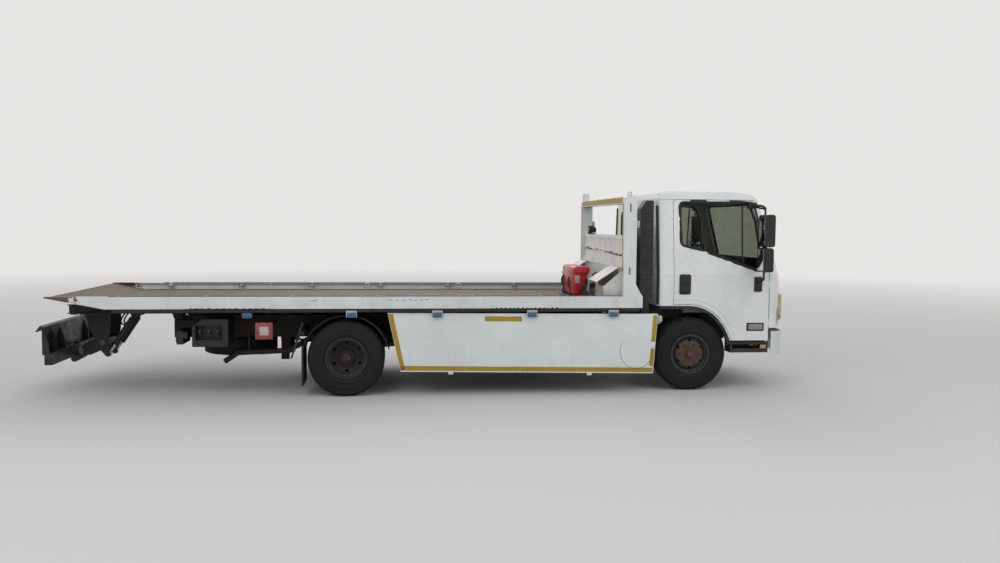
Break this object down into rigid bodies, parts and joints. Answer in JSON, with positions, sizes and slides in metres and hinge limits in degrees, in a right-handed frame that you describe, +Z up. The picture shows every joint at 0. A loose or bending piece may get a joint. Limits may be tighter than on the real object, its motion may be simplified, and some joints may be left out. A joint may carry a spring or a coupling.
{
  "type": "slide-bed recovery truck",
  "caption": "Light cab-over recovery truck with a sliding, tilting load bed, headboard, winch, side lockers and a folding rear underlift",
  "frame": {"origin": "on the ground under the middle of the overall length and width", "axes": "+X forward, +Y to the vehicle's left, +Z up"},
  "size_m": [8.078, 2.6, 2.24],
  "materials": {
    "cab_paint": "white gloss, a little dusty",
    "deck_paint": "white, scuffed, with rust at the edges",
    "skirt_paint": "white with yellow edge tape",
    "chassis_paint": "black satin, dusty",
    "rim_paint": "dark, rusty and dusty",
    "white_paint": "white, dusty",
    "red_paint": "red",
    "deck_steel": "worn, rust-brown floor plate",
    "ram_steel": "ram rods",
    "black_plastic": "black plastic",
    "lamp_lens": "lamp lenses",
    "tyre_rubber": "tyre",
    "cab_glass": "glass",
    "seat_cloth": "woven",
    "silencer_steel": "rusty exhaust",
    "cast_parts": "engine and driveline"
  },
  "bodies": {
    "chassis": {"chassis_frame": "chassis_paint", "axles_and_springs": "chassis_paint", "engine_and_driveline": "cast_parts", "side_tanks": "chassis_paint", "exhaust": "silencer_steel", "spare_wheel": "tyre_rubber", "mudguards": "black_plastic", "side_skirts": "skirt_paint", "control_box": "chassis_paint", "rear_light_bar": "chassis_paint", "front_bumper": "white_paint", "intake_snorkel": "black_plastic"},
    "cab": {"cab_shell": "cab_paint", "roof_panel": "cab_paint", "front_panel": "cab_paint", "cab_glass": "cab_glass", "headlamps": "lamp_lens", "grille": "black_plastic", "seats": "seat_cloth", "dashboard": "black_plastic", "cab_trim": "black_plastic"},
    "door_right": {"door_right": "cab_paint", "door_glass_right": "cab_glass", "mirror_right": "black_plastic"},
    "door_left": {"door_left": "cab_paint", "door_glass_left": "cab_glass", "mirror_left": "black_plastic"},
    "knuckle_left": {"knuckle_left": "chassis_paint"},
    "knuckle_right": {"knuckle_right": "chassis_paint"},
    "tie_rod": {"tie_rod": "chassis_paint"},
    "front_wheel_left": {"tyre_front_left": "tyre_rubber", "rim_front_left": "rim_paint"},
    "front_wheel_right": {"tyre_front_right": "tyre_rubber", "rim_front_right": "rim_paint"},
    "rear_wheels_left": {"tyres_rear_left": "tyre_rubber", "rims_rear_left": "rim_paint"},
    "rear_wheels_right": {"tyres_rear_right": "tyre_rubber", "rims_rear_right": "rim_paint"},
    "tilt_frame": {"tilt_frame": "chassis_paint"},
    "tilt_barrels": {"tilt_ram_barrels": "chassis_paint"},
    "tilt_rods": {"tilt_ram_rods": "ram_steel"},
    "deck": {"deck_floor": "deck_steel", "deck_frame": "chassis_paint", "side_rails": "deck_paint", "headboard": "deck_paint", "lockers": "deck_paint", "winch_frame": "chassis_paint", "winch_cover": "red_paint", "side_lamps": "lamp_lens"},
    "winch_drum": {"winch_drum": "cast_parts"},
    "locker_lid_left": {"locker_lid_left": "deck_paint"},
    "locker_lid_right": {"locker_lid_right": "deck_paint"},
    "lift_arm": {"lift_arm": "chassis_paint"},
    "stinger": {"stinger": "chassis_paint"},
    "crossbar": {"crossbar": "chassis_paint"},
    "lift_barrel": {"lift_ram_barrels": "chassis_paint"},
    "lift_rod": {"lift_ram_rods": "ram_steel"}
  },
  "joints": [
    {"name": "cab_tilt", "type": "hinge", "parent": "chassis", "child": "cab", "pos_m": [3.889, 0, 0.7], "axis": [0, 1, 0], "range_deg": [0, 45]},
    {"name": "door_right_hinge", "type": "hinge", "parent": "cab", "child": "door_right", "pos_m": [3.7895, -0.9935, 1], "axis": [0, 0, 1], "range_deg": [0, 70]},
    {"name": "door_left_hinge", "type": "hinge", "parent": "cab", "child": "door_left", "pos_m": [3.7895, 0.9935, 1], "axis": [0, 0, -1], "range_deg": [0, 70]},
    {"name": "steer_left", "type": "hinge", "parent": "chassis", "child": "knuckle_left", "pos_m": [2.919, 0.745, 0.405], "axis": [0, 0, 1], "range_deg": [-35, 35]},
    {"name": "steer_right", "type": "hinge", "parent": "chassis", "child": "knuckle_right", "pos_m": [2.919, -0.745, 0.405], "axis": [0, 0, 1], "range_deg": [-35, 35]},
    {"name": "tie_rod_pivot", "type": "hinge", "parent": "knuckle_left", "child": "tie_rod", "pos_m": [2.769, 0.745, 0.372], "axis": [0, 0, 1], "range_deg": [-35, 35]},
    {"name": "spin_front_left", "type": "hinge", "parent": "knuckle_left", "child": "front_wheel_left", "pos_m": [2.919, 0.8475, 0.405], "axis": [0, 1, 0], "continuous": true},
    {"name": "spin_front_right", "type": "hinge", "parent": "knuckle_right", "child": "front_wheel_right", "pos_m": [2.919, -0.8475, 0.405], "axis": [0, 1, 0], "continuous": true},
    {"name": "spin_rear_left", "type": "hinge", "parent": "chassis", "child": "rear_wheels_left", "pos_m": [-0.861, 0.835, 0.405], "axis": [0, 1, 0], "continuous": true},
    {"name": "spin_rear_right", "type": "hinge", "parent": "chassis", "child": "rear_wheels_right", "pos_m": [-0.861, -0.835, 0.405], "axis": [0, 1, 0], "continuous": true},
    {"name": "bed_tilt", "type": "hinge", "parent": "chassis", "child": "tilt_frame", "pos_m": [-2.731, 0, 0.8], "axis": [0, -1, 0], "range_deg": [0, 10.5]},
    {"name": "tilt_barrels_swing", "type": "hinge", "parent": "chassis", "child": "tilt_barrels", "pos_m": [-1.576, 0, 0.33], "axis": [0, -1, 0], "range_deg": [0, 1]},
    {"name": "tilt_rods_slide", "type": "slide", "parent": "tilt_barrels", "child": "tilt_rods", "axis": [-0.0425, 0, 0.9991], "range_m": [0, 0.215]},
    {"name": "bed_slide", "type": "slide", "parent": "tilt_frame", "child": "deck", "axis": [-1, 0, 0], "range_m": [0, 4]},
    {"name": "winch_drum_spin", "type": "hinge", "parent": "deck", "child": "winch_drum", "pos_m": [1.804, 0.11, 1.152], "axis": [0, 1, 0], "continuous": true},
    {"name": "lid_left_hinge", "type": "hinge", "parent": "deck", "child": "locker_lid_left", "pos_m": [2.076, 0.845, 1.374], "axis": [0, 1, 0], "range_deg": [-4, 110]},
    {"name": "lid_right_hinge", "type": "hinge", "parent": "deck", "child": "locker_lid_right", "pos_m": [2.076, -0.845, 1.374], "axis": [0, 1, 0], "range_deg": [-4, 110]},
    {"name": "lift_arm_hinge", "type": "hinge", "parent": "tilt_frame", "child": "lift_arm", "pos_m": [-3.576, 0, 0.488], "axis": [0, 1, 0], "range_deg": [-15, 10]},
    {"name": "stinger_slide", "type": "slide", "parent": "lift_arm", "child": "stinger", "axis": [0.9135, 0, 0.4067], "range_m": [-0.1, 0]},
    {"name": "crossbar_swivel", "type": "hinge", "parent": "stinger", "child": "crossbar", "pos_m": [-3.916, 0, 0.4], "axis": [0, 0, 1], "range_deg": [-15, 15]},
    {"name": "lift_barrel_swing", "type": "hinge", "parent": "tilt_frame", "child": "lift_barrel", "pos_m": [-3.246, 0, 0.79], "axis": [0, 1, 0], "range_deg": [-6, 6]},
    {"name": "lift_rod_slide", "type": "slide", "parent": "lift_barrel", "child": "lift_rod", "axis": [-0.5486, 0, -0.8361], "range_m": [-0.03, 0.03]}
  ],
  "couplings": [
    {"joint": "steer_right", "follows": "steer_left", "ratio": 1},
    {"joint": "tie_rod_pivot", "follows": "steer_left", "ratio": -1},
    {"joint": "tilt_barrels_swing", "follows": "bed_tilt", "ratio": 0.05888},
    {"joint": "tilt_rods_slide", "follows": "bed_tilt", "m_per_rad": 1.1332},
    {"joint": "lift_barrel_swing", "follows": "lift_arm_hinge", "ratio": 0.1735},
    {"joint": "lift_rod_slide", "follows": "lift_arm_hinge", "m_per_rad": 0.11326}
  ]
}
